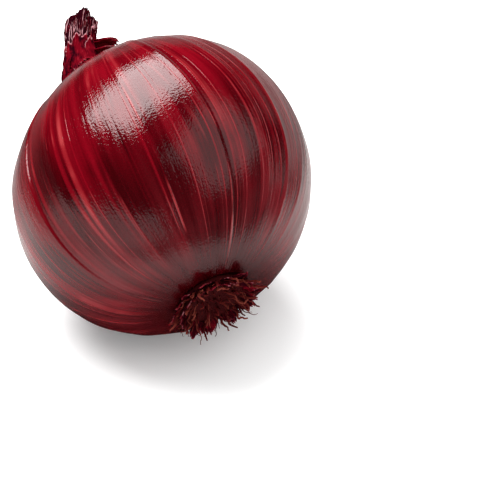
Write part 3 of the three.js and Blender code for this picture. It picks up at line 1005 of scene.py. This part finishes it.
def add_skin_flap(sculpt, draw, azimuth, span, level, reach, droop, shade, pink, pale, hang):
    """A flap of torn skin stands out from the neck, drooping or turned up; one side may hang lower."""
    notches = [draw(0.7, 1) for _ in range(4)]
    lift = draw(0.3, 0.9)
    detail = seeded_draw(round(reach * 100 + span))
    crinkle = ripples(detail, 6, (10, 34), 1.2)
    tatter = ripples(detail, 8, (16, 70), 0)
    u, v = blade_grid(34, 44)
    far = torn_reach(u, v, notches, tatter, 0.05)
    around = np.radians(azimuth + span * (v - 0.5) * mix(1, 0.6, u))
    out = neck_radius(level) - 0.9 + reach * far
    rise = lift * np.sin(math.pi * 0.6 * far) - droop * far**2 + 0.25 * np.cos(6 * v + azimuth) * u
    rise = rise + 0.16 * crinkle(around, out) * u - hang * (1 - v) ** 2 * smoothstep(u, 0, 0.5)
    surface = on_neck_seat(neck_middle(level) + sideways(around, out, rise))
    edge = np.maximum(torn_rim(u, v, 0.78, 0.45) * pale, pink * (0.6 + 0.4 * u))
    sculpt.add_blade(surface, SKIN_THICKNESS, shade=shade, edge=edge, angle=around * 5, length=out)


def add_shoulder_skin(sculpt, draw, azimuth, span, reach, shade):
    """The torn edge of an outer skin, lying on the bulb's shoulder round the neck."""
    notches = [draw(0.45, 1) for _ in range(9)]
    tatter = ripples(draw, 9, (12, 80), 0)
    crinkle = ripples(draw, 7, (12, 60), 3)
    u, v = blade_grid(30, 120)
    far = torn_reach(u, v, notches, tatter, 0.06)
    around = np.radians(azimuth + span * (v - 0.5)) + 0 * u
    level = 1 - reach * far
    wave = crinkle(around, level)
    off_the_bulb = sideways(around, 0.1 * wave * u, 0.4 + 0.13 * wave * u)
    surface = skin_points(level, around, 0.0) + off_the_bulb
    thin = mix(0.3, 0.12, u)
    edge = mix(0.3, 0.82, u**2) + 0.1 * wave
    sculpt.add_blade(surface, thin, shade=shade, edge=edge, angle=around * 16, length=level * 40)


def finish_fibrous(sculpt, name, material):
    """Finishes a mesh whose fibres follow each point's place round the neck or roots and along them."""
    angle = np.concatenate(sculpt.values.pop("angle"))
    length = np.concatenate(sculpt.values.pop("length"))
    sculpt.values["fibre"] = [np.stack([angle * 2.6, length * 0.35, angle * 0], axis=-1)]
    return sculpt.finish(name, material)


def bundle_mesh(material, bundles):
    sculpt = Sculpt()
    add_neck_plug(sculpt)
    for form, look in zip(bundles, BUNDLE_LOOKS):
        add_neck_bundle(sculpt, form, *look)
    return finish_fibrous(sculpt, "neck_bundles", material)


def sheath_mesh(material, draw):
    sculpt = Sculpt()
    for sheath in SHEATHS:
        add_neck_sheath(sculpt, draw, *sheath)
    return finish_fibrous(sculpt, "neck_sheaths", material)


def torn_skin_mesh(material, draw):
    sculpt = Sculpt()
    for flap in TORN_FLAPS:
        add_skin_flap(sculpt, draw, *flap)
    extra = seeded_draw(71)
    for flap in LOWER_FLAPS:
        add_skin_flap(sculpt, extra, *flap)
    for skin in SHOULDER_SKINS:
        add_shoulder_skin(sculpt, extra, *skin)
    return finish_fibrous(sculpt, "neck_torn_skins", material)


def leaf_threads(bundles):
    """Paths of the dry threads that stand off the bundles towards their tops."""
    draw = seeded_draw(37)
    paths = []
    for form, (count, low) in zip(bundles, LEAF_THREADS):
        for i in range(count):
            around = TURN * (i + draw(-0.4, 0.4)) / count
            shares = np.linspace(draw(low, 0.8), draw(0.86, 0.99), 7)
            sway = np.array([draw(-0.05, 0.05) for _ in shares])
            points, _, _ = form(shares, around + sway, lift=0.05 + 0.1 * (shares > 0.9))
            paths.append(on_neck_seat(points))
    return paths


# The roots


def on_root_seat(points):
    return points + root_seat_centre() - [0, 0, SEAT_GAP]


def root_path(azimuth, out, length, draw):
    """The bends of one root, from inside the plate outwards, as in the solid."""
    lean = mix(0.15, 1.05, out / PLATE_RADIUS) + draw(-0.12, 0.12)
    ways = [azimuth, azimuth + draw(-0.7, 0.7), azimuth + draw(-1.3, 1.3)]
    leans = [lean, lean + draw(-0.25, 0.35), lean + draw(-0.5, 0.7)]
    points = [sideways(azimuth, out, -PLATE_THICKNESS + 0.9)]
    for way, tilt in zip(ways, leans):
        tilt = min(tilt, FLATTEST_ROOT)
        stride = length / len(ways)
        points.append(points[-1] + sideways(way, stride * math.sin(tilt), -stride * math.cos(tilt)))
    return np.array(points)


def root_paths(draw, circles, spread=0.3):
    """The paths of the roots, in circles round the plate."""
    paths = []
    for out, count, length in circles:
        for i in range(count):
            azimuth = TURN * (i + draw(-spread, spread)) / count
            path = root_path(azimuth, out + draw(-0.5, 0.5), length * draw(0.6, 1.45), draw)
            paths.append(on_root_seat(path))
    return paths


def curves_along(name, paths):
    curve = bpy.data.curves.new(name, "CURVE")
    curve.dimensions = "3D"
    for path in paths:
        spline = curve.splines.new("POLY")
        spline.points.add(len(path) - 1)
        places = in_row_frame(path)
        spline.points.foreach_set("co", np.c_[places, np.ones(len(path))].ravel())
    return show(bpy.data.objects.new(name, curve))


def strand_tree(name, material):
    """Grows gnarled tapering strands along curves."""
    tree, given = growth_tree(name, THICK_ROOT_SIZES)
    strand_radius = Formula(given.outputs["Strand radius"])
    gnarl = Formula(given.outputs["Gnarl"])
    paths = Formula(given.outputs["Geometry"])
    smooth = added(tree, "GeometryNodeCurveSplineType", {"spline_type": "CATMULL_ROM"}, Curve=paths)
    even = added(tree, "GeometryNodeResampleCurve", Curve=smooth, Count=16)
    share = added(tree, "GeometryNodeSplineParameter", output="Factor")
    place = added(tree, "GeometryNodeInputPosition")
    twist = added(tree, "ShaderNodeTexNoise", output="Color", Vector=place, Scale=520, Detail=1)
    swing = twist.vector_calc("SUBTRACT", (0.5, 0.5, 0.5)).vector_calc("SCALE", share * gnarl * 4 * MM)
    bent = added(tree, "GeometryNodeSetPosition", Geometry=even, Offset=swing)
    knots = noise(place, 900)
    radius = (1 - share**1.5 * 0.55) * (knots * 0.7 + 0.65) * strand_radius * MM
    store = "GeometryNodeStoreNamedAttribute"
    tipped = added(tree, store, Geometry=bent, Name="tip", Value=share)
    chance = added(tree, "FunctionNodeRandomValue", output=1, Seed=7)
    shaded = added(tree, store, {"domain": "CURVE"}, Geometry=tipped, Name="shade", Value=chance)
    ring = added(tree, "GeometryNodeCurvePrimitiveCircle", Resolution=7, Radius=1)
    outline = {"Curve": shaded, "Profile Curve": ring, "Scale": radius, "Fill Caps": True}
    end_growth(tree, added(tree, "GeometryNodeCurveToMesh", **outline), material)
    return tree


def add_skin_shred(sculpt, draw, azimuth, reach_scale, lie_out, rise):
    """A shred of torn skin clings to the plate's rim and turns out."""
    span = draw(22, 38)
    reach = draw(3.4, 6) * reach_scale
    drop = draw(1.4, 2.8)
    notches = [draw(0.5, 0.9), 1, draw(0.6, 1), draw(0.4, 0.8)]
    crinkle = ripples(draw, 6, (12, 40), 1.4)
    tatter = ripples(draw, 7, (18, 60), 0)
    u, v = blade_grid(24, 26)
    far = torn_reach(u, v, notches, tatter, 0.06)
    around = azimuth + np.radians(span) * (v - 0.5) * mix(1, 0.55, u)
    out = PLATE_RADIUS - 1.5 + lie_out + reach * far
    height = -PLATE_THICKNESS + 0.7 + rise - drop * far**1.5 + 0.2 * crinkle(around, out) * u
    surface = on_root_seat(sideways(around, out, height))
    edge = torn_rim(u, v, 0.7, 0.44) * 0.8
    shade = draw(0.15, 0.6)
    sculpt.add_blade(surface, SKIN_THICKNESS, shade=shade, edge=edge, angle=around * 8, length=out)


def shred_mesh(material):
    sculpt = Sculpt()
    draw = seeded_draw(61)
    for count, *lie in SHRED_CIRCLES:
        for i in range(count):
            azimuth = TURN * (i + draw(-0.3, 0.3)) / count
            add_skin_shred(sculpt, draw, azimuth, *lie)
    return finish_fibrous(sculpt, "root_skin_shreds", material)


def plate_mesh(material):
    """The root plate: a rough, slightly sunken disc."""
    share, height = np.array(PLATE_OUTLINE).T[..., None]
    around = all_round(120)
    rough = ripples(seeded_draw(17), 12, (5, 40), 9)
    bumps = 0.2 * rough(around, share) * (share < 0.95)
    rings = on_root_seat(sideways(around, PLATE_RADIUS * share, height + bumps))
    sculpt = Sculpt()
    sculpt.add_tube(rings[::-1], tip=0.05, shade=0.1)
    return sculpt.finish("root_plate", material)


# The studio


def make_camera():
    back = Vector((
        math.sin(CAMERA_AZIMUTH) * math.cos(CAMERA_ELEVATION),
        -math.cos(CAMERA_AZIMUTH) * math.cos(CAMERA_ELEVATION),
        math.sin(CAMERA_ELEVATION),
    ))
    right = Vector((0, 0, 1)).cross(back).normalized()
    up = back.cross(right)
    centre = GROWING_ORIGIN * MM
    middle = PICTURE_SIZE / 2
    across = (middle - PICTURE_ORIGIN[0]) / PIXELS_PER_MM * MM
    down = (middle - PICTURE_ORIGIN[1]) / PIXELS_PER_MM * MM
    camera = show(bpy.data.objects.new("camera", bpy.data.cameras.new("camera")))
    camera.location = centre + back * CAMERA_DISTANCE * MM
    aim = centre + right * across - up * down - camera.location
    camera.rotation_euler = aim.to_track_quat("-Z", "Y").to_euler()
    camera.data.sensor_width = SENSOR_WIDTH
    camera.data.lens = SENSOR_WIDTH * CAMERA_DISTANCE * PIXELS_PER_MM / PICTURE_SIZE
    camera.data.clip_end = 20
    bpy.context.scene.camera = camera


def soft_box(name, towards, distance, size, radiance):
    """A rectangular soft light; towards is a direction seen from the camera: right, away and up."""
    light = bpy.data.lights.new(name, "AREA")
    light.shape = "RECTANGLE"
    light.size, light.size_y = size
    light.energy = radiance * math.pi * size[0] * size[1]
    box = show(bpy.data.objects.new(name, light))
    direction = Matrix.Rotation(CAMERA_AZIMUTH, 3, "Z") @ Vector(towards).normalized()
    box.location = GROWING_ORIGIN * MM + direction * distance
    box.rotation_euler = (-direction).to_track_quat("-Z", "Y").to_euler()
    box.visible_camera = False
    return box


def make_lights():
    soft_box("key_light", (-0.28, 0.32, 0.87), 1.2, (1.3, 0.98), radiance=8.0)
    soft_box("side_light", (0.69, -0.19, 0.62), 1.1, (1.35, 1.15), radiance=0.85)
    fill = soft_box("overhead_fill", (0.05, -0.35, 0.94), 1.5, (1.6, 1.6), radiance=1.5)
    fill.visible_glossy = False
    soft_box("backdrop", (0.35, 1, 0.04), 1.5, (2.1, 0.38), radiance=0.27)
    soft_box("front_card", (-0.57, -0.82, 0), 1.0, (1.5, 0.26), radiance=1.0)


def make_surroundings():
    """White all round for the camera, a soft fill for lit surfaces, and nearly black in mirrors."""
    world = bpy.data.worlds.new("studio")
    bpy.context.scene.world = world
    world.use_nodes = True
    background = world.node_tree.nodes["Background"]
    seen = added(world.node_tree, "ShaderNodeLightPath", output="Is Camera Ray")
    soft_fill = added(world.node_tree, "ShaderNodeLightPath", output="Is Diffuse Ray")
    feed(background.inputs["Strength"], seen + soft_fill * SOFT_FILL + WORLD_IN_MIRRORS)
    background.inputs["Color"].default_value = (1, 1, 1, 1)


def mirrored_brightness(tree):
    """How bright the table is in the skin's mirror: a ring round the onion, and a few spots."""

    def near(right, away, reach, core):
        """1 round a spot of the table, falling off to 0 at its reach."""
        spot = Matrix.Rotation(CAMERA_AZIMUTH, 3, "Z") @ Vector((right, away, 0))
        return object_place(tree).vector_calc("DISTANCE", spot, output="Value").ramp(reach, core)

    ring = near(*MIRRORED_NEARBY) * (1 - near(*MIRRORED_SHADE))
    brightness = ring * (1 - near(*MIRRORED_DIM) * DIM_SHARE)
    for spot, strength in MIRRORED_SPOTS:
        brightness = brightness.calc("MAXIMUM", near(*spot) * strength)
    return brightness


def make_table():
    material, tree, shader = new_material("white_table")
    in_mirror = blend(mirrored_brightness(tree), MIRRORED_DARK, MIRRORED_BRIGHT)
    mirrored = added(tree, "ShaderNodeLightPath", output="Is Glossy Ray")
    feed(shader.inputs["Base Color"], blend(mirrored, TABLE_WHITE, in_mirror))
    shader.inputs["Roughness"].default_value = 0.7
    shader.inputs["Emission Color"].default_value = (1, 1, 1, 1)
    seen = added(tree, "ShaderNodeLightPath", output="Is Camera Ray")
    feed(shader.inputs["Emission Strength"], seen * TABLE_GLOW)
    sides = ((-1, -1), (1, -1), (1, 1), (-1, 1))
    corners = [(TABLE_HALF * x, TABLE_HALF * y, TABLE_HEIGHT) for x, y in sides]
    mesh = bpy.data.meshes.new("table_top")
    mesh.from_pydata(corners, [], [(0, 1, 2, 3)])
    mesh.materials.append(material)
    show(bpy.data.objects.new("table_top", mesh))


# The whole onion


def make_bulb(skin):
    bulb = grown(bulb_mesh(skin), relief_tree(skin))
    rest_on_table(bulb)
    return [bulb]


def make_neck(sheath, thread):
    draw = seeded_draw(NECK_SEED)
    bundles = [bundle_form(draw, *bundle) for bundle in BUNDLES]
    pieces = [bundle_mesh(sheath, bundles), sheath_mesh(sheath, draw), torn_skin_mesh(sheath, draw)]
    paths = curves_along("leaf_threads", leaf_threads(bundles))
    return [*pieces, grown(paths, strand_tree("dry_threads", thread), THREAD_SIZES)]


def make_roots(root, sheath):
    draw = seeded_draw(ROOT_SEED)
    pass_over(draw, SOLID_PLATE_DRAWS)
    thick = root_paths(draw, THICK_ROOTS)
    fine = root_paths(seeded_draw(83), FINE_ROOTS, spread=0.5)
    tree = strand_tree("gnarled_roots", root)
    return [
        grown(curves_along("thick_roots", thick), tree, THICK_ROOT_SIZES),
        grown(curves_along("fine_roots", fine), tree, FINE_ROOT_SIZES),
        plate_mesh(root),
        shred_mesh(sheath),
    ]


def main():
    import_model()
    make_camera()
    make_lights()
    make_surroundings()
    make_table()
    bpy.context.scene.view_settings.view_transform = "Standard"

    skin, sheath, root, thread = glossy_skin(), withered_sheath(), dried_root(), dry_thread()
    for pieces, node, slot in (
        (make_bulb(skin), "bulb", "glossy_skin"),
        (make_neck(sheath, thread), "dry_neck", "dry_neck"),
        (make_roots(root, sheath), "root_tuft", "dry_roots"),
    ):
        for piece in pieces:
            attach(piece, "root")
            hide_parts(node)


main()
